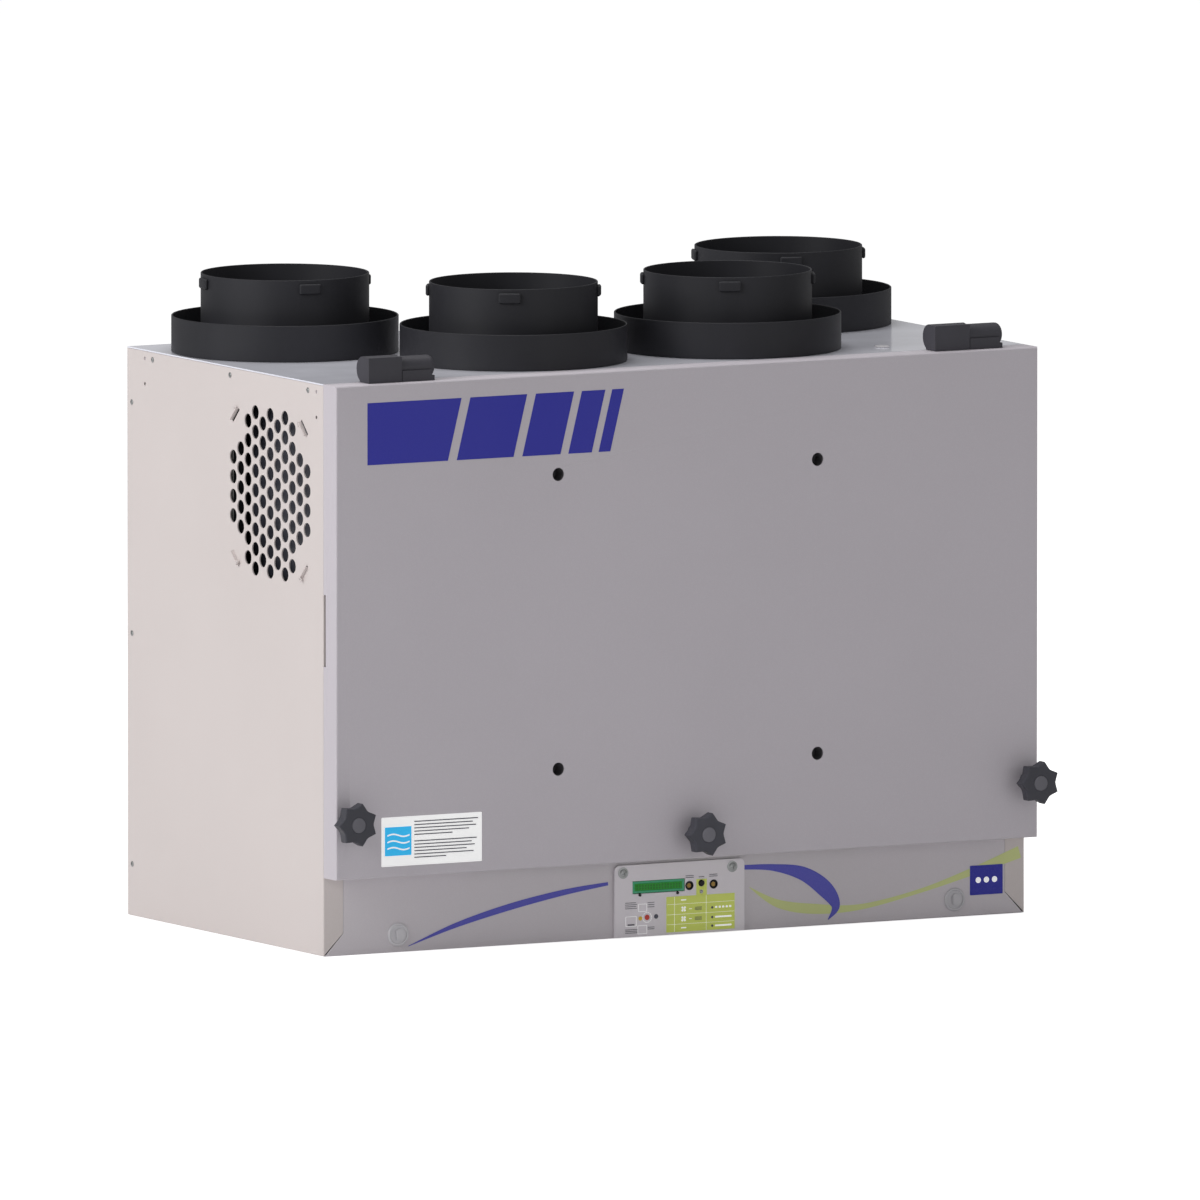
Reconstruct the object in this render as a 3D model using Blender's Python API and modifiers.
"""Heat recovery unit: a wall-hung ventilation cabinet with four duct ports, a top-hinged door and its works.

Metres, +Z up. The origin is the centre of the cabinet's underside, +X runs right along the front and the
door faces -Y. Every object is one physical piece. A moving piece has its origin on its joint's axis.
"""

import math

import bmesh
import bpy
from mathutils import Matrix, Vector

# Cabinet
WIDTH = 0.720
DEPTH = 0.3734
HEIGHT = 0.517
SHEET = 0.0012
GAP = 0.0003
HALF_W = WIDTH / 2
HALF_D = DEPTH / 2
FRONT = -HALF_D
FRONT_BACK = FRONT + SHEET
STRIP_TOP = 0.070
STRIP_FLANGE = 0.020
FRAME_FLANGE = 0.035
SILL_TOP = 0.118
LINER = 0.0145
SIDE_FOLD = 0.022
CORNER_CUT_X = 0.3560
CORNER_CUT_Y = 0.160
STRIP_OPENING = ((-0.052, 0.008), (0.058, 0.056))
CABLE_HOLE = (0.2345, -0.1467)
CABLE_HOLE_RADIUS = 0.005
LINER_BASE = STRIP_TOP + SHEET + 2 * GAP
LINER_TOP = HEIGHT - SHEET - 2 * GAP
LINER_X = HALF_W - SHEET - 2 * SHEET - GAP - LINER
LINER_Y = HALF_D - SHEET - GAP - LINER
CEILING = LINER_TOP - LINER

# Door
DOOR_FRONT = -0.2112
DOOR_BACK = FRONT - 2 * GAP
DOOR_BASE = 0.0712
DOOR_NOTCH = (-0.2136, 0.1908)
PLUG_BACK = -0.180
GASKET_OUT = 0.340
GASKET_WIDTH = 0.012
GASKET_FRONT = -0.1915
GASKET_Z = (0.104, 0.504)
DOOR_HOLES = ((0.133, 0.4263), (0.133, 0.1597))
DOOR_HOLE_RADIUS = 0.006
DOOR_FRONT_LIP = 0.008
PLUG_FOOT = 0.006
PLUG_HEAD = 0.014
FRAME_CLEARANCE = 0.003
SLAB_STUD_HOLE = 0.0075

# Hinges
HINGE_Y = -0.193
HINGE_Z = HEIGHT + 0.012
HINGE_RADIUS = 0.0117
PIN_RADIUS = 0.003
PIN_CLEARANCE = 0.0005
HINGE_FOOT_TOP = HEIGHT + 0.0048
HINGE_WEB_HALF = 0.0105
HINGE_FACE = -0.2045
HINGE_FACE_TOP = HINGE_Z + 0.0110
HINGE_FOOT_BACK = -0.166
HINGES = (("left", -0.323, -0.289, -0.254), ("right", 0.2576, 0.2935, 0.329))

# Star knobs
KNOBS = (("left", -0.350, 0.123), ("right", 0.350, 0.123), ("centre", 0.008, 0.095))
KNOB_FRONT = -0.2365
KNOB_HEAD = 0.012
KNOB_RADIUS = 0.0198
KNOB_LOBES = 7
STUD_RADIUS = 0.003
STUD_END = -0.1805
STUD_HOLE = 0.0048
NECK_RADIUS = 0.0100
CAP_RADIUS = 0.0067
CAP_STEP = 0.0008
BORE_DEPTH = 0.010
LOBE_SWING = 0.0026
RETAINER_RADIUS = 0.0062
RETAINER_DEPTH = 0.008

# Ports
PORTS = (
    ("house_supply", -0.254, 0.083),
    ("house_return", -0.110, -0.084),
    ("outdoor_intake", 0.110, -0.084),
    ("outdoor_exhaust", 0.254, 0.083),
)
COLLAR_TOP = 0.5885
COLLAR_FOOT = 0.502
INNER_RADIUS = 0.07615
OUTER_RADIUS = 0.1027
OUTER_HEIGHT = 0.033
COLLAR_WALL = 0.0015
FOOT_SPLIT = 0.0895
ROUND_STEPS = 24

# Core, filters and the rails that divide the chambers
CORE_SIDE = 0.200
CORE_Z = 0.290
CORE_HALF_LENGTH = 0.160
CORE_HALF_DIAGONAL = CORE_SIDE / math.sqrt(2)
RAIL_LEG = 0.018
RAIL_THICKNESS = 0.0015
FILTER_THICKNESS = 0.020
TRAY_HALF_X = 0.150
TRAY_HALF_Y = 0.164
TRAY_TOP = 0.100
TRAY_WALL = 0.0018
DRAIN = (0.075, 0.060)
DRAIN_OUTER = 0.0080
DRAIN_INNER = 0.0062
DRAIN_PASS = 0.0086

# Blowers, given for the left one and mirrored for the right
BLOWER_X = -0.248
BLOWER_Z = 0.186
BLOWER_Y = (0.038, 0.128)
SCROLL_START = 0.068
SCROLL_END = 0.082
SCROLL_WALL = 0.002
SCROLL_STEPS = 18
OUTLET_CLEARANCE = 0.0008
OUTLET_TOP = CORE_Z + 0.006
PLENUM_X = (-0.330, -0.178)
PLENUM_Y = (0.007, 0.159)
INLET_RADIUS = 0.045
WHEEL_RADIUS = 0.058
WHEEL_Y = (0.043, 0.098)
WHEEL_BLADES = 12
BLADE_CHORD = 0.012
BLADE_THICKNESS = 0.0016
BLADE_PITCH = 0.5
MOTOR_RADIUS = 0.032
SHAFT_RADIUS = 0.004

# Grille and damper
GRILLE_Y = -0.0861
GRILLE_Z = 0.4091
GRILLE_COLUMN = 0.01403
GRILLE_PITCH = 0.01767
GRILLE_COUNTS = (4, 5, 8, 9, 8, 9, 8, 9, 8, 5, 4)
GRILLE_RADIUS = 0.0065
GRILLE_DEPTH = 0.0107
GRILLE_TURN = 0.3
GRILLE_WINDOW_Y = (-0.165, -0.008)
GRILLE_WINDOW_Z = (0.330, 0.488)
DAMPER_AXIS = (-0.3360, -0.1700)
DAMPER_Z = (0.326, 0.492)
DAMPER_EDGE = -0.004
DAMPER_HALF = 0.0015
KNUCKLE_RADIUS = 0.0040
ACTUATOR_REACH = 0.036
ACTUATOR_DEPTH = 0.040

# Control panel
PANEL_X = (-0.0637, 0.0697)
PANEL_Z = (0.0006, 0.066)
PANEL_FACE = -0.1896
BOARD_FACE = -0.1805
TRIMMERS = (("left", 0.0130, 0.0441), ("right", 0.0379, 0.0441))
TRIMMER_RADIUS = 0.0034
BUTTON = (0.0254, 0.0457)
BUTTON_RADIUS = 0.0026
BUTTON_STANDS = 0.0016
BUTTON_BACK = -0.1832
SHAFT_CLEARANCE = 0.0005
DISPLAY_X = (-0.0453, 0.0085)
DISPLAY_Z = (0.0394, 0.0510)

ALONG_X = Matrix.Rotation(math.radians(90), 4, "Y")
ALONG_Y = Matrix.Rotation(math.radians(90), 4, "X")
ALONG_Z = Matrix.Identity(4)

MATERIALS = {
    "cabinet_paint": ((0.60, 0.58, 0.57), 0.45, 0.0),
    "door_paint": ((0.31, 0.29, 0.32), 0.45, 0.0),
    "galvanised": ((0.55, 0.56, 0.58), 0.35, 0.9),
    "charcoal_plastic": ((0.035, 0.036, 0.042), 0.5, 0.0),
    "foam": ((0.80, 0.80, 0.78), 0.9, 0.0),
    "gasket": ((0.02, 0.02, 0.02), 0.85, 0.0),
    "steel": ((0.62, 0.62, 0.63), 0.3, 1.0),
    "core": ((0.65, 0.72, 0.78), 0.4, 0.0),
    "filter": ((0.10, 0.11, 0.12), 0.95, 0.0),
    "fan_plastic": ((0.06, 0.06, 0.065), 0.45, 0.0),
    "board": ((0.02, 0.16, 0.06), 0.4, 0.0),
    "display": ((0.03, 0.25, 0.12), 0.15, 0.0),
    "brass": ((0.62, 0.45, 0.18), 0.3, 1.0),
    "tray": ((0.20, 0.21, 0.23), 0.4, 0.0),
}


def clear_scene():
    for obj in list(bpy.data.objects):
        bpy.data.objects.remove(obj, do_unlink=True)


def new_collection(name):
    collection = bpy.data.collections.new(name)
    bpy.context.scene.collection.children.link(collection)
    return collection


def make_material(name):
    colour, roughness, metallic = MATERIALS[name]
    material = bpy.data.materials.get(name) or bpy.data.materials.new(name)
    material.use_nodes = True
    shader = material.node_tree.nodes["Principled BSDF"]
    shader.inputs["Base Color"].default_value = (*colour, 1.0)
    shader.inputs["Roughness"].default_value = roughness
    shader.inputs["Metallic"].default_value = metallic
    return material


def object_from(name, mesh, material=None):
    """Links a mesh as a part, or as a hidden helper when it has no material."""
    obj = bpy.data.objects.new(name, mesh)
    if material:
        obj.data.materials.append(make_material(material))
        PARTS.objects.link(obj)
    else:
        obj.hide_render = True
        obj.display_type = "WIRE"
        CUTTERS.objects.link(obj)
    return obj


def mesh_from(bm, name):
    bmesh.ops.recalc_face_normals(bm, faces=bm.faces)
    mesh = bpy.data.meshes.new(name)
    bm.to_mesh(mesh)
    bm.free()
    return mesh


def box(name, low, high, material=None):
    bm = bmesh.new()
    bmesh.ops.create_cube(bm, size=1.0)
    size = [high[i] - low[i] for i in range(3)]
    bmesh.ops.scale(bm, vec=size, verts=bm.verts)
    bmesh.ops.translate(bm, vec=[(low[i] + high[i]) / 2 for i in range(3)], verts=bm.verts)
    return object_from(name, mesh_from(bm, name), material)


def cylinder(name, centre, radius, length, turn=ALONG_Z, steps=12, material=None):
    bm = bmesh.new()
    bmesh.ops.create_cone(
        bm, cap_ends=True, segments=steps, radius1=radius, radius2=radius, depth=length,
        matrix=Matrix.Translation(centre) @ turn,
    )
    mesh = mesh_from(bm, name)
    mesh.shade_smooth()
    mesh.set_sharp_from_angle(angle=math.radians(40))
    return object_from(name, mesh, material)


def outline_solid(name, points, depth, placing, material=None):
    """A flat outline given thickness, as a filled curve turned into a welded mesh."""
    curve = bpy.data.curves.new(name + "_outline", "CURVE")
    curve.dimensions = "2D"
    curve.fill_mode = "BOTH"
    curve.extrude = depth / 2
    spline = curve.splines.new("POLY")
    spline.points.add(len(points) - 1)
    for point, (u, v) in zip(spline.points, points):
        point.co = (u, v, 0.0, 1.0)
    spline.use_cyclic_u = True
    guide = bpy.data.objects.new(name + "_outline", curve)
    CUTTERS.objects.link(guide)
    bpy.context.view_layer.update()
    mesh = bpy.data.meshes.new_from_object(guide.evaluated_get(bpy.context.evaluated_depsgraph_get()))
    bpy.data.objects.remove(guide, do_unlink=True)
    bm = bmesh.new()
    bm.from_mesh(mesh)
    bmesh.ops.remove_doubles(bm, verts=bm.verts, dist=1e-6)
    bmesh.ops.transform(bm, matrix=placing, verts=bm.verts)
    return object_from(name, mesh_from(bm, name), material)


def front_plate(name, points, near, far, material=None):
    """An outline in X and Z, from y = near back to y = far."""
    placing = Matrix.Translation((0, (near + far) / 2, 0)) @ ALONG_Y
    return outline_solid(name, points, far - near, placing, material)


def turned(name, profile, centre, material):
    """A ring about a vertical axis from a closed profile of (radius, height), down its outer side first."""
    bm = bmesh.new()
    verts = [bm.verts.new((radius, 0.0, height)) for radius, height in profile]
    for first, second in zip(verts, verts[1:] + verts[:1]):
        bm.edges.new((first, second))
    mesh = bpy.data.meshes.new(name)
    bm.to_mesh(mesh)
    bm.free()
    obj = object_from(name, mesh, material)
    obj.location = centre
    screw = obj.modifiers.new("turn", "SCREW")
    screw.steps = screw.render_steps = ROUND_STEPS
    screw.use_merge_vertices = True
    screw.merge_threshold = 0.00005
    return obj


def combine(obj, other, operation, solver="EXACT"):
    """Cuts one shape out of a part, or joins one to it."""
    modifier = obj.modifiers.new(other.name, "BOOLEAN")
    modifier.operation = operation
    modifier.solver = solver
    modifier.object = other
    return obj


def cut(obj, *others):
    for other in others:
        combine(obj, other, "DIFFERENCE")
    return obj


def join(obj, *others):
    for other in others:
        combine(obj, other, "UNION")
    return obj


def hang_on(obj, origin):
    """Moves a part's origin onto its joint's axis, leaving its shape where it is."""
    obj.data.transform(Matrix.Translation(-Vector(origin)))
    obj.location = origin
    return obj


def mirrored(obj, name):
    """A copy of a part reflected in the middle plane of the cabinet, with its shape settled first."""
    bpy.context.view_layer.update()
    mesh = bpy.data.meshes.new_from_object(obj.evaluated_get(bpy.context.evaluated_depsgraph_get()))
    bm = bmesh.new()
    bm.from_mesh(mesh)
    bmesh.ops.scale(bm, vec=(-1, 1, 1), verts=bm.verts)
    bmesh.ops.reverse_faces(bm, faces=bm.faces)
    bm.to_mesh(mesh)
    bm.free()
    twin = bpy.data.objects.new(name, mesh)
    twin.location = (-obj.location.x, obj.location.y, obj.location.z)
    PARTS.objects.link(twin)
    return twin


def port_holes(name, radius, low, high):
    return [
        cylinder(f"{name}_{port}", (x, y, (low + high) / 2), radius, high - low, steps=ROUND_STEPS)
        for port, x, y in PORTS
    ]


def knob_holes(name, radius, near, far):
    return [
        cylinder(f"{name}_{side}", (x, (near + far) / 2, z), radius, far - near, ALONG_Y)
        for side, x, z in KNOBS
    ]


def grille_points():
    """The hole centres of the round grille, columns from the back to the front."""
    middle = (len(GRILLE_COUNTS) - 1) / 2
    for column, count in enumerate(GRILLE_COUNTS):
        y = GRILLE_Y + (middle - column) * GRILLE_COLUMN
        for row in range(count):
            yield y, GRILLE_Z + (row - (count - 1) / 2) * GRILLE_PITCH


def grille_cutter():
    bm = bmesh.new()
    for y, z in grille_points():
        bmesh.ops.create_cone(
            bm, cap_ends=True, segments=8, radius1=GRILLE_RADIUS, radius2=GRILLE_RADIUS, depth=GRILLE_DEPTH,
            matrix=Matrix.Translation((-HALF_W, y, z)) @ ALONG_X @ Matrix.Rotation(GRILLE_TURN, 4, "Z"),
        )
    return object_from("grille_holes", mesh_from(bm, "grille_holes"))


def side_panel(name, grille=False):
    """The left side: a wall and the folded front flange, which is mitred to the base at its foot."""
    top = HEIGHT - SHEET - GAP
    flange = [
        (-HALF_W, GAP), (-HALF_W + STRIP_FLANGE, STRIP_FLANGE + GAP), (-HALF_W + STRIP_FLANGE, STRIP_TOP),
        (-HALF_W + FRAME_FLANGE, STRIP_TOP), (-HALF_W + FRAME_FLANGE, top), (-HALF_W, top),
    ]
    panel = box(name, (-HALF_W, FRONT, GAP), (-HALF_W + SHEET, HALF_D, top), "cabinet_paint")
    if grille:
        combine(panel, grille_cutter(), "DIFFERENCE", "MANIFOLD")
    combine(panel, front_plate(name + "_flange", flange, FRONT, FRONT_BACK), "UNION", "MANIFOLD")
    hole = knob_holes(name + "_hole", STUD_HOLE, FRONT - 0.002, FRONT_BACK + 0.002)[0]
    return combine(panel, hole, "DIFFERENCE", "MANIFOLD")


def build_side_panels():
    right = side_panel("side_panel_pattern")
    mirrored(right, "right_side_panel")
    bpy.data.objects.remove(right, do_unlink=True)
    side_panel("left_side_panel", grille=True)


def build_base_pan():
    """The floor of the cabinet, folded up at the front as the control strip."""
    inner = HALF_W - STRIP_FLANGE - GAP
    foot = HALF_W - SHEET - GAP
    strip = [
        (-foot, 0), (foot, 0), (inner, STRIP_FLANGE), (inner, STRIP_TOP - GAP),
        (-inner, STRIP_TOP - GAP), (-inner, STRIP_FLANGE),
    ]
    pan = front_plate("base_pan", strip, FRONT, FRONT_BACK, "cabinet_paint")
    side = HALF_W - SHEET - GAP
    floor = box("base_floor", (-side, FRONT, 0), (side, HALF_D - SHEET - GAP, SHEET))
    combine(pan, floor, "UNION", "MANIFOLD")
    (left, foot_z), (right, head_z) = STRIP_OPENING
    opening = box("panel_opening", (left, FRONT - 0.01, foot_z), (right, FRONT + 0.01, head_z))
    combine(pan, opening, "DIFFERENCE", "MANIFOLD")
    combine(pan, cylinder("drain_exit", (*DRAIN, 0), DRAIN_PASS, 0.02), "DIFFERENCE", "MANIFOLD")


def build_back_panel():
    """The back wall with a flange folded forwards down each side."""
    side = HALF_W - SHEET - GAP
    top = HEIGHT - SHEET - GAP
    back = box("back_panel", (-side, HALF_D - SHEET, GAP), (side, HALF_D, top), "cabinet_paint")
    for sign in (-1, 1):
        flange = sorted((sign * (side - SHEET), sign * side))
        join(back, box(
            f"back_flange_{sign}", (flange[0], HALF_D - SIDE_FOLD, 0.004), (flange[1], HALF_D, 0.485)
        ))


def build_top_panel():
    """The top with its folded front, back and side flanges, and the holes that the collars drop into."""
    side = HALF_W - SHEET - GAP
    frame_in = HALF_W - FRAME_FLANGE - GAP
    top = box("top_panel", (-HALF_W, FRONT, HEIGHT - SHEET), (HALF_W, HALF_D, HEIGHT), "cabinet_paint")
    join(top, box("top_front", (-frame_in, FRONT, HEIGHT - FRAME_FLANGE), (frame_in, FRONT_BACK, HEIGHT)))
    for sign in (-1, 1):
        flange = sorted((sign * (side - SHEET), sign * side))
        join(top, box(
            f"top_flange_{sign}", (flange[0], FRONT_BACK + GAP, HEIGHT - SIDE_FOLD),
            (flange[1], HALF_D - SHEET - GAP, HEIGHT - SHEET / 2),
        ))
    cut(top, *port_holes("top_hole", INNER_RADIUS + 0.0006, HEIGHT - 0.01, HEIGHT + 0.01))
    cut(top, cylinder("cable_hole", (*CABLE_HOLE, HEIGHT), CABLE_HOLE_RADIUS, 0.02))


def build_compartment_floor():
    """The shelf over the electronics, folded up at the front as the sill that the door closes on."""
    side = HALF_W - SHEET - GAP
    sill = HALF_W - FRAME_FLANGE - GAP
    floor = box(
        "compartment_floor", (-side, FRONT_BACK + GAP, STRIP_TOP),
        (side, HALF_D - SHEET - GAP, STRIP_TOP + SHEET), "galvanised",
    )
    cut(floor, *[
        box(f"floor_corner_{low}", (low, CORNER_CUT_Y, 0.06), (high, HALF_D, 0.08))
        for low, high in ((-WIDTH, -CORNER_CUT_X), (CORNER_CUT_X, WIDTH))
    ])
    join(floor, box("sill", (-sill, FRONT, STRIP_TOP + GAP), (sill, FRONT_BACK + 2 * GAP, SILL_TOP)))
    cut(floor, cylinder("drain_pass", (*DRAIN, STRIP_TOP), DRAIN_PASS, 0.02))
    cut(floor, knob_holes("sill_hole", STUD_HOLE, FRONT - 0.002, FRONT_BACK + 0.002)[2])


def build_liners():
    """Expanded-foam boards that line the air chambers."""
    front = FRONT_BACK + GAP
    outer = LINER_X + LINER
    left = box("liner_left", (-outer, front, LINER_BASE), (-LINER_X, LINER_Y + LINER, LINER_TOP), "foam")
    right = box("liner_right", (LINER_X, front, LINER_BASE), (outer, LINER_Y + LINER, LINER_TOP), "foam")
    pockets = knob_holes("stud_pocket", STUD_HOLE + 0.001, front - 0.002, STUD_END + 0.003)
    cut(left, pockets[0])
    cut(right, pockets[1])
    cut(left, box(
        "grille_window", (-outer - 0.01, GRILLE_WINDOW_Y[0], GRILLE_WINDOW_Z[0]),
        (-LINER_X + 0.01, GRILLE_WINDOW_Y[1], GRILLE_WINDOW_Z[1]),
    ))
    inner = LINER_X - GAP
    box("liner_back", (-inner, LINER_Y, LINER_BASE), (inner, LINER_Y + LINER, CEILING - GAP), "foam")
    top = box("liner_top", (-inner, front, CEILING), (inner, LINER_Y + LINER, LINER_TOP), "foam")
    cut(top, *port_holes("liner_hole", INNER_RADIUS + 0.0006, CEILING - 0.01, HEIGHT))


def build_ports():
    """Each port has a duct collar through the top and a wider collar round it for the duct's sleeve."""
    seat = HEIGHT + GAP
    for port, x, y in PORTS:
        inner, wall, foot = INNER_RADIUS, COLLAR_WALL, FOOT_SPLIT - GAP
        turned(f"inner_collar_{port}", [
            (inner, COLLAR_TOP), (inner, seat + wall), (foot, seat + wall), (foot, seat), (inner, seat),
            (inner, COLLAR_FOOT), (inner - wall, COLLAR_FOOT), (inner - wall, COLLAR_TOP),
        ], (x, y, 0), "charcoal_plastic")
        outer = OUTER_RADIUS
        turned(f"outer_collar_{port}", [
            (outer, HEIGHT + OUTER_HEIGHT), (outer, seat), (FOOT_SPLIT, seat), (FOOT_SPLIT, seat + wall),
            (outer - wall, seat + wall), (outer - wall, HEIGHT + OUTER_HEIGHT),
        ], (x, y, 0), "charcoal_plastic")


def build_door():
    """The door: a folded pan, its foam filling with a raised plug, and the gasket round the plug."""
    axis = (0, HINGE_Y, HINGE_Z)
    skin = box("door_skin", (-HALF_W, DOOR_FRONT, DOOR_BASE), (HALF_W, DOOR_BACK, HEIGHT), "door_paint")
    inside = box(
        "door_hollow", (-HALF_W + SHEET, DOOR_FRONT + SHEET, DOOR_BASE + SHEET),
        (HALF_W - SHEET, DOOR_BACK + 0.01, HEIGHT - SHEET),
    )
    notch = box(
        "door_notch", (DOOR_NOTCH[0], DOOR_FRONT + DOOR_FRONT_LIP, DOOR_BASE - 0.01),
        (DOOR_NOTCH[1], DOOR_BACK + 0.01, DOOR_BASE + 0.01),
    )
    cut(skin, inside, notch, *knob_holes("door_stud_hole", STUD_HOLE, DOOR_FRONT - 0.01, DOOR_FRONT + 0.01))
    for sign in (-1, 1):
        for x, z in DOOR_HOLES:
            hole = (sign * x, DOOR_FRONT, z)
            cut(skin, cylinder(f"door_hole_{sign}_{z}", hole, DOOR_HOLE_RADIUS, 0.01, ALONG_Y))
    hang_on(skin, axis)
    slab = box(
        "door_insulation", (-HALF_W + SHEET + GAP, DOOR_FRONT + SHEET + GAP, DOOR_BASE + SHEET + GAP),
        (HALF_W - SHEET - GAP, GASKET_FRONT - GAP, HEIGHT - SHEET - GAP), "foam",
    )
    edge = GASKET_OUT - GASKET_WIDTH - 2 * GAP
    join(slab, box(
        "door_plug", (-edge, GASKET_FRONT - 0.005, GASKET_Z[0] + GASKET_WIDTH + PLUG_FOOT),
        (edge, PLUG_BACK, GASKET_Z[1] - GASKET_WIDTH - PLUG_HEAD),
    ))
    trim = HALF_W - FRAME_FLANGE - FRAME_CLEARANCE
    cut(slab, box("plug_trim_left", (-HALF_W, GASKET_FRONT, 0), (-trim, 0, HEIGHT)))
    cut(slab, box("plug_trim_right", (trim, GASKET_FRONT, 0), (HALF_W, 0, HEIGHT)))
    cut(slab, *knob_holes("slab_stud_hole", SLAB_STUD_HOLE, DOOR_FRONT, 0.0))
    hang_on(slab, axis)
    gasket = box(
        "door_gasket", (-GASKET_OUT, GASKET_FRONT, GASKET_Z[0]),
        (GASKET_OUT, DOOR_BACK, GASKET_Z[1]), "gasket",
    )
    cut(gasket, box(
        "gasket_middle", (-GASKET_OUT + GASKET_WIDTH, -1, GASKET_Z[0] + GASKET_WIDTH),
        (GASKET_OUT - GASKET_WIDTH, 1, GASKET_Z[1] - GASKET_WIDTH),
    ))
    hang_on(gasket, axis)


def hinge_half(name, start, end, foot_low, foot_high):
    """Half of a lift-off hinge: a knuckle about the axis with a flat foot under it."""
    middle = ((start + end) / 2, HINGE_Y, HINGE_Z)
    half = cylinder(name, middle, HINGE_RADIUS, end - start, ALONG_X, 16, "charcoal_plastic")
    foot = box(name + "_foot", (start, foot_low, HEIGHT + GAP), (end, foot_high, HINGE_FOOT_TOP))
    web_low, web_high = max(foot_low, HINGE_Y - HINGE_WEB_HALF), min(foot_high, HINGE_Y + HINGE_WEB_HALF)
    web = box(name + "_web", (start, web_low, HEIGHT + 0.0020), (end, web_high, HINGE_Z))
    return join(half, web, foot)


def bored(half, split):
    """Drills the pin's hole through half of a hinge."""
    centre = (split, HINGE_Y, HINGE_Z)
    return cut(half, cylinder(half.name + "_bore", centre, PIN_RADIUS + PIN_CLEARANCE, 0.12, ALONG_X))


def build_hinges():
    """The door half of each hinge has a flat, full-height front; the cabinet half is a plain knuckle."""
    for side, start, split, end in HINGES:
        name = f"hinge_{side}_door_half"
        door_half = hinge_half(name, start, split - GAP, HINGE_FACE, DOOR_BACK)
        face = box(name + "_face", (start, HINGE_FACE, HEIGHT + GAP), (split - GAP, HINGE_Y, HINGE_FACE_TOP))
        bored(join(door_half, face), split)
        hang_on(door_half, (split, HINGE_Y, HINGE_Z))
        bored(hinge_half(f"hinge_{side}_cabinet_half", split + GAP, end, FRONT, HINGE_FOOT_BACK), split)
        cylinder(
            f"hinge_{side}_pin", ((start + end) / 2, HINGE_Y, HINGE_Z), PIN_RADIUS, end - start - 0.006,
            ALONG_X, 12, "steel",
        )


def star_outline(x, z):
    """A seven-lobed outline with one lobe pointing to -X."""
    steps = KNOB_LOBES * 6
    for step in range(steps):
        angle = math.pi + 2 * math.pi * step / steps
        radius = KNOB_RADIUS - LOBE_SWING * (1 - math.cos(KNOB_LOBES * (angle - math.pi)))
        yield x + radius * math.cos(angle), z + radius * math.sin(angle)


def build_knobs():
    """Each knob turns with its stud, and a retaining washer on the stud travels with them."""
    for side, x, z in KNOBS:
        axis = (x, DOOR_FRONT, z)
        head_back = KNOB_FRONT + KNOB_HEAD
        knob = front_plate(
            f"star_knob_{side}", list(star_outline(x, z)), KNOB_FRONT + CAP_STEP, head_back,
            "charcoal_plastic",
        )
        neck_end = DOOR_FRONT - 2 * GAP
        join(knob, cylinder(
            f"knob_neck_{side}", (x, (head_back - 0.002 + neck_end) / 2, z), NECK_RADIUS,
            neck_end - head_back + 0.002, ALONG_Y, 16,
        ))
        join(knob, cylinder(f"knob_cap_{side}", (x, KNOB_FRONT + 0.003, z), CAP_RADIUS, 0.006, ALONG_Y, 16))
        bore_start = neck_end - BORE_DEPTH
        cut(knob, cylinder(
            f"knob_bore_{side}", (x, (bore_start + neck_end) / 2, z), STUD_RADIUS + 0.0004,
            neck_end - bore_start + 0.002, ALONG_Y,
        ))
        hang_on(knob, axis)
        start = bore_start + 0.002
        stud = cylinder(
            f"knob_stud_{side}", (x, (start + STUD_END) / 2, z), STUD_RADIUS, STUD_END - start,
            ALONG_Y, 12, "steel",
        )
        hang_on(stud, axis)
        seat = (x, DOOR_FRONT + SHEET + RETAINER_DEPTH, z)
        washer = cylinder(
            f"knob_retainer_{side}", seat, RETAINER_RADIUS, SHEET, ALONG_Y, 12, "charcoal_plastic"
        )
        cut(washer, cylinder(f"retainer_bore_{side}", seat, STUD_RADIUS + PIN_CLEARANCE, 0.01, ALONG_Y))
        hang_on(washer, seat)


def rail_outline(stem):
    """A Y section round a square corner: two legs down the core's faces and a stem standing on the corner."""
    reach = 0.0006
    half = RAIL_THICKNESS / 2
    leg = RAIL_LEG / math.sqrt(2)
    slope = RAIL_THICKNESS * math.sqrt(2)
    inner = [(leg, reach - leg), (0.0, reach), (-leg, reach - leg)]
    skew = RAIL_THICKNESS / math.sqrt(2)
    left, right = (-leg - skew, reach - leg + skew), (leg + skew, reach - leg + skew)
    crotch = reach + slope - half
    return inner + [left, (-half, crotch), (-half, stem), (half, stem), (half, crotch), right]


def core_rail(name, turn, stem, material="galvanised"):
    centre = Matrix.Translation((0, 0, CORE_Z)) @ Matrix.Rotation(math.radians(turn), 4, "Y")
    corner = Matrix.Translation((0, 0, CORE_HALF_DIAGONAL)) @ ALONG_Y
    return outline_solid(name, rail_outline(stem), 2 * CORE_HALF_LENGTH, centre @ corner, material)


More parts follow.
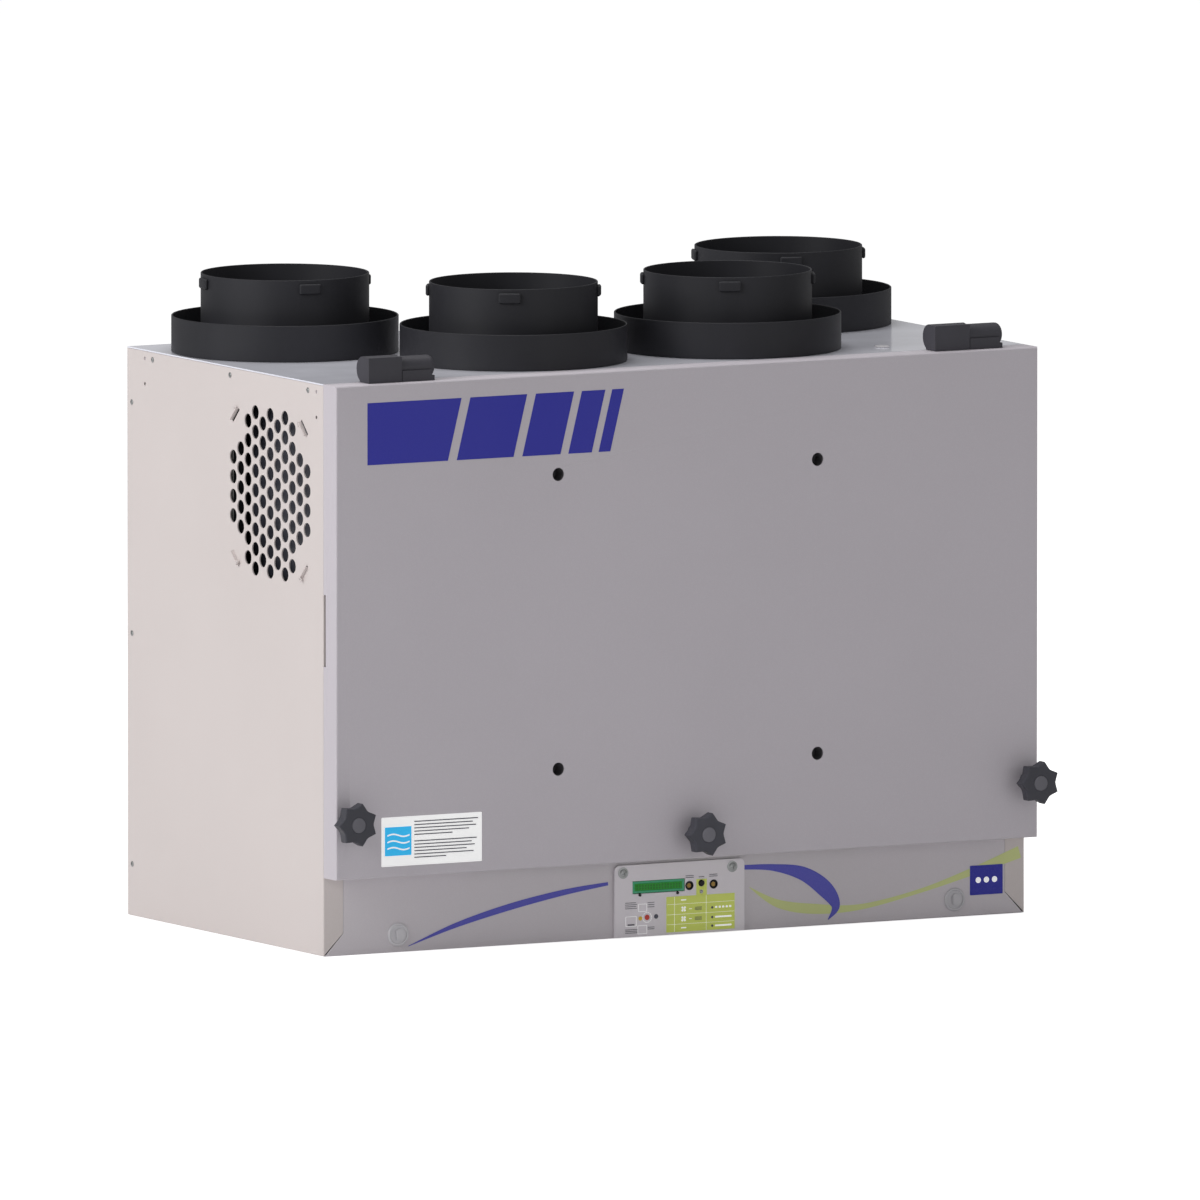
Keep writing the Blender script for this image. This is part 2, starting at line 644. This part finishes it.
def build_core():
    """The cross-flow core stands on its corner, held by four rails that also part the four air chambers."""
    bm = bmesh.new()
    bmesh.ops.create_cube(bm, size=1.0)
    bmesh.ops.scale(bm, vec=(CORE_SIDE, 2 * CORE_HALF_LENGTH, CORE_SIDE), verts=bm.verts)
    diamond = Matrix.Translation((0, 0, CORE_Z)) @ Matrix.Rotation(math.radians(45), 4, "Y")
    bmesh.ops.transform(bm, matrix=diamond, verts=bm.verts)
    object_from("core_block", mesh_from(bm, "core_block"), "core")

    reach_up = CEILING - GAP - CORE_Z - CORE_HALF_DIAGONAL
    reach_down = CORE_Z - CORE_HALF_DIAGONAL - LINER_BASE - 0.003
    reach_side = LINER_X - GAP - CORE_HALF_DIAGONAL
    core_rail("core_rail_top", 0, reach_up)
    core_rail("core_rail_bottom", 180, reach_down)
    for side, turn, sign in (("left", -90, -1), ("right", 90, 1)):
        rail = core_rail(f"core_rail_{side}", turn, reach_side)
        clear = OUTLET_CLEARANCE
        outlet = sorted(-sign * x for x in (BLOWER_X - SCROLL_END - clear, BLOWER_X + clear))
        cut(rail, box(
            f"outlet_pass_{side}", (outlet[0], BLOWER_Y[0] - clear, CORE_Z - 0.01),
            (outlet[1], BLOWER_Y[1] + clear, CORE_Z + 0.01),
        ))

    width = CORE_SIDE - 2 * RAIL_LEG - 0.006
    for side, sign in (("left", -1), ("right", 1)):
        bm = bmesh.new()
        bmesh.ops.create_cube(bm, size=1.0)
        bmesh.ops.scale(bm, vec=(width, 2 * CORE_HALF_LENGTH, FILTER_THICKNESS), verts=bm.verts)
        offset = Matrix.Translation((0, 0, CORE_SIDE / 2 + 2 * GAP + FILTER_THICKNESS / 2))
        slope = Matrix.Translation((0, 0, CORE_Z)) @ Matrix.Rotation(math.radians(45 * sign), 4, "Y") @ offset
        bmesh.ops.transform(bm, matrix=slope, verts=bm.verts)
        object_from(f"filter_{side}", mesh_from(bm, f"filter_{side}"), "filter")


def build_drain():
    """The drip tray under the core and the tube that drains it through the base."""
    tray = box(
        "drip_tray", (-TRAY_HALF_X, -TRAY_HALF_Y, LINER_BASE), (TRAY_HALF_X, TRAY_HALF_Y, TRAY_TOP), "tray"
    )
    cut(tray, box(
        "tray_hollow", (-TRAY_HALF_X + TRAY_WALL, -TRAY_HALF_Y + TRAY_WALL, LINER_BASE + TRAY_WALL),
        (TRAY_HALF_X - TRAY_WALL, TRAY_HALF_Y - TRAY_WALL, TRAY_TOP + 0.01),
    ))
    cut(tray, cylinder("tray_outlet", (*DRAIN, LINER_BASE), DRAIN_INNER, 0.02))
    tube_top = LINER_BASE - GAP
    turned("drain_tube", [
        (DRAIN_OUTER, tube_top), (DRAIN_OUTER, GAP), (DRAIN_INNER, GAP), (DRAIN_INNER, tube_top),
    ], (*DRAIN, 0), "charcoal_plastic")


def scroll_outline(grow):
    """The spiral of the blower case, opening upwards on its outer side. grow moves it out or in."""
    points = []
    for step in range(SCROLL_STEPS + 1):
        share = step / SCROLL_STEPS
        angle = math.radians(90 - 270 * share)
        radius = SCROLL_START + (SCROLL_END - SCROLL_START) * share + grow
        points.append((BLOWER_X + radius * math.cos(angle), BLOWER_Z + radius * math.sin(angle)))
    outer, inner = BLOWER_X - SCROLL_END - grow, BLOWER_X + grow
    return [(inner, points[0][1])] + points[1:] + [(outer, OUTLET_TOP), (inner, OUTLET_TOP)]


def build_blowers():
    """Left blower: scroll case with its outlet plenum, a bladed wheel and an external-rotor motor."""
    low, high = BLOWER_Y
    wall = SCROLL_WALL
    case = front_plate("blower_case_left", scroll_outline(0.0), low, high, "fan_plastic")
    floor = CORE_Z + RAIL_THICKNESS / 2 + 2 * GAP
    plenum = box(
        "plenum", (PLENUM_X[0], PLENUM_Y[0], floor), (PLENUM_X[1], PLENUM_Y[1], CEILING - GAP)
    )
    plenum_inside = box(
        "plenum_inside", (PLENUM_X[0] + wall, PLENUM_Y[0] + wall, floor + wall),
        (PLENUM_X[1] - wall, PLENUM_Y[1] - wall, CEILING + 0.01),
    )
    join(case, plenum)
    cut(case, plenum_inside, front_plate("scroll_inside", scroll_outline(-wall), low + wall, high - wall))
    cut(case, cylinder("blower_inlet", (BLOWER_X, low, BLOWER_Z), INLET_RADIUS, 0.02, ALONG_Y, 20))
    mirrored(case, "blower_case_right")

    start, end = WHEEL_Y
    axle = (BLOWER_X, (start + end) / 2, BLOWER_Z)
    wheel = cylinder(
        "blower_wheel_left", (BLOWER_X, end - 0.001, BLOWER_Z), WHEEL_RADIUS, 0.002,
        ALONG_Y, 24, "fan_plastic",
    )
    for blade in range(WHEEL_BLADES):
        angle = 2 * math.pi * blade / WHEEL_BLADES
        bm = bmesh.new()
        bmesh.ops.create_cube(bm, size=1.0)
        bmesh.ops.scale(bm, vec=(BLADE_CHORD, end - start - 0.003, BLADE_THICKNESS), verts=bm.verts)
        place = Matrix.Translation((BLOWER_X, start + (end - start) / 2 + 0.0005, BLOWER_Z))
        spin = Matrix.Rotation(angle, 4, "Y") @ Matrix.Translation((WHEEL_RADIUS - 0.0075, 0, 0))
        bmesh.ops.transform(bm, matrix=place @ spin @ Matrix.Rotation(BLADE_PITCH, 4, "Y"), verts=bm.verts)
        join(wheel, object_from(f"blade_{blade}", mesh_from(bm, f"blade_{blade}")))
    rim = cylinder("wheel_rim", (BLOWER_X, start + 0.0015, BLOWER_Z), WHEEL_RADIUS, 0.003, ALONG_Y, 24)
    cut(rim, cylinder("rim_hole", (BLOWER_X, start, BLOWER_Z), WHEEL_RADIUS - 0.006, 0.02, ALONG_Y, 24))
    join(wheel, rim)
    bore = SHAFT_RADIUS + SHAFT_CLEARANCE
    cut(wheel, cylinder("wheel_bore", (BLOWER_X, end, BLOWER_Z), bore, 0.02, ALONG_Y))
    hang_on(wheel, axle)
    mirrored(wheel, "blower_wheel_right")

    motor_back = high - wall - GAP
    motor = cylinder(
        "blower_motor_left", (BLOWER_X, (end + 0.002 + motor_back) / 2, BLOWER_Z), MOTOR_RADIUS,
        motor_back - end - 0.002, ALONG_Y, 20, "fan_plastic",
    )
    join(motor, cylinder("motor_shaft", (BLOWER_X, end, BLOWER_Z), SHAFT_RADIUS, 0.014, ALONG_Y))
    mirrored(motor, "blower_motor_right")


def build_damper():
    """The flap behind the grille swings inwards on an upright axis at its front edge, driven from below."""
    x, y = DAMPER_AXIS
    low, high = DAMPER_Z
    flap = box("damper_flap", (x - DAMPER_HALF, y, low), (x + DAMPER_HALF, DAMPER_EDGE, high), "tray")
    join(flap, cylinder("flap_knuckle", (x, y, (low + high) / 2), KNUCKLE_RADIUS, high - low))
    hang_on(flap, (x, y, (low + high) / 2))
    top = low - 0.006
    floor = CORE_Z + RAIL_THICKNESS / 2 + 2 * GAP
    actuator = box(
        "damper_actuator", (x - 0.005, PLUG_BACK + 0.002, floor),
        (x + ACTUATOR_REACH, y + ACTUATOR_DEPTH, top), "fan_plastic",
    )
    join(actuator, cylinder("actuator_shaft", (x, y, low - GAP - 0.005), 0.0030, 0.010))


def rounded_top(low, high, corner):
    """A plate outline with its two upper corners rounded."""
    points = [(low[0], low[1]), (high[0], low[1])]
    for centre_x, first in ((high[0] - corner, 0), (low[0] + corner, 90)):
        for step in range(5):
            angle = math.radians(first + 22.5 * step)
            points.append((centre_x + corner * math.cos(angle), high[1] - corner + corner * math.sin(angle)))
    return points


def build_controls():
    """The control plate on the strip, and the board, display, button and trimmers behind it."""
    outline = rounded_top((PANEL_X[0], PANEL_Z[0]), (PANEL_X[1], PANEL_Z[1]), 0.005)
    back = FRONT - GAP
    plate = front_plate("control_plate", outline, PANEL_FACE, back, "cabinet_paint")
    middle = (PANEL_FACE + back) / 2
    cut(plate, box(
        "display_window", (DISPLAY_X[0], PANEL_FACE - 0.01, DISPLAY_Z[0]),
        (DISPLAY_X[1], back + 0.01, DISPLAY_Z[1]),
    ))
    clear = SHAFT_CLEARANCE
    cut(plate, cylinder("button_hole", (BUTTON[0], middle, BUTTON[1]), BUTTON_RADIUS + clear, 0.02, ALONG_Y))
    for side, x, z in TRIMMERS:
        cut(plate, cylinder(f"trimmer_hole_{side}", (x, middle, z), TRIMMER_RADIUS + clear, 0.02, ALONG_Y))
        trimmer = cylinder(
            f"trimmer_{side}", (x, (PANEL_FACE + 0.0004 + BOARD_FACE - GAP) / 2, z), TRIMMER_RADIUS,
            BOARD_FACE - GAP - PANEL_FACE - 0.0004, ALONG_Y, 16, "brass",
        )
        cut(trimmer, box(
            f"trimmer_slot_{side}", (x - 0.01, PANEL_FACE - 0.001, z - 0.0005),
            (x + 0.01, PANEL_FACE + 0.0016, z + 0.0005),
        ))
        hang_on(trimmer, (x, PANEL_FACE, z))
    button_front = PANEL_FACE - BUTTON_STANDS
    button = cylinder(
        "push_button", (BUTTON[0], (button_front + BUTTON_BACK) / 2, BUTTON[1]), BUTTON_RADIUS,
        BUTTON_BACK - button_front, ALONG_Y, 12, "charcoal_plastic",
    )
    hang_on(button, (BUTTON[0], button_front, BUTTON[1]))
    inset = 0.0004
    box(
        "display_module", (DISPLAY_X[0] + inset, PANEL_FACE + 0.0006, DISPLAY_Z[0] + inset),
        (DISPLAY_X[1] - inset, BOARD_FACE - GAP, DISPLAY_Z[1] - inset), "display",
    )
    board = box("control_board", (-0.075, BOARD_FACE, 0.004), (0.080, BOARD_FACE + 0.0016, 0.066), "board")
    join(board, box("relay", (-0.060, BOARD_FACE + 0.001, 0.012), (-0.042, BOARD_FACE + 0.016, 0.030)))
    join(board, box("terminal_block", (0.020, BOARD_FACE + 0.001, 0.010), (0.070, BOARD_FACE + 0.012, 0.022)))
    transformer = box("transformer", (-0.215, -0.06, SHEET + GAP), (-0.155, 0.0, 0.050), "steel")
    join(transformer, box("winding", (-0.205, -0.072, 0.010), (-0.165, 0.012, 0.042)))


def build():
    build_base_pan()
    build_side_panels()
    build_back_panel()
    build_top_panel()
    build_compartment_floor()
    build_liners()
    build_ports()
    build_door()
    build_hinges()
    build_knobs()
    build_core()
    build_drain()
    build_blowers()
    build_damper()
    build_controls()


clear_scene()
PARTS = new_collection("heat_recovery_unit")
CUTTERS = new_collection("cutters")
build()
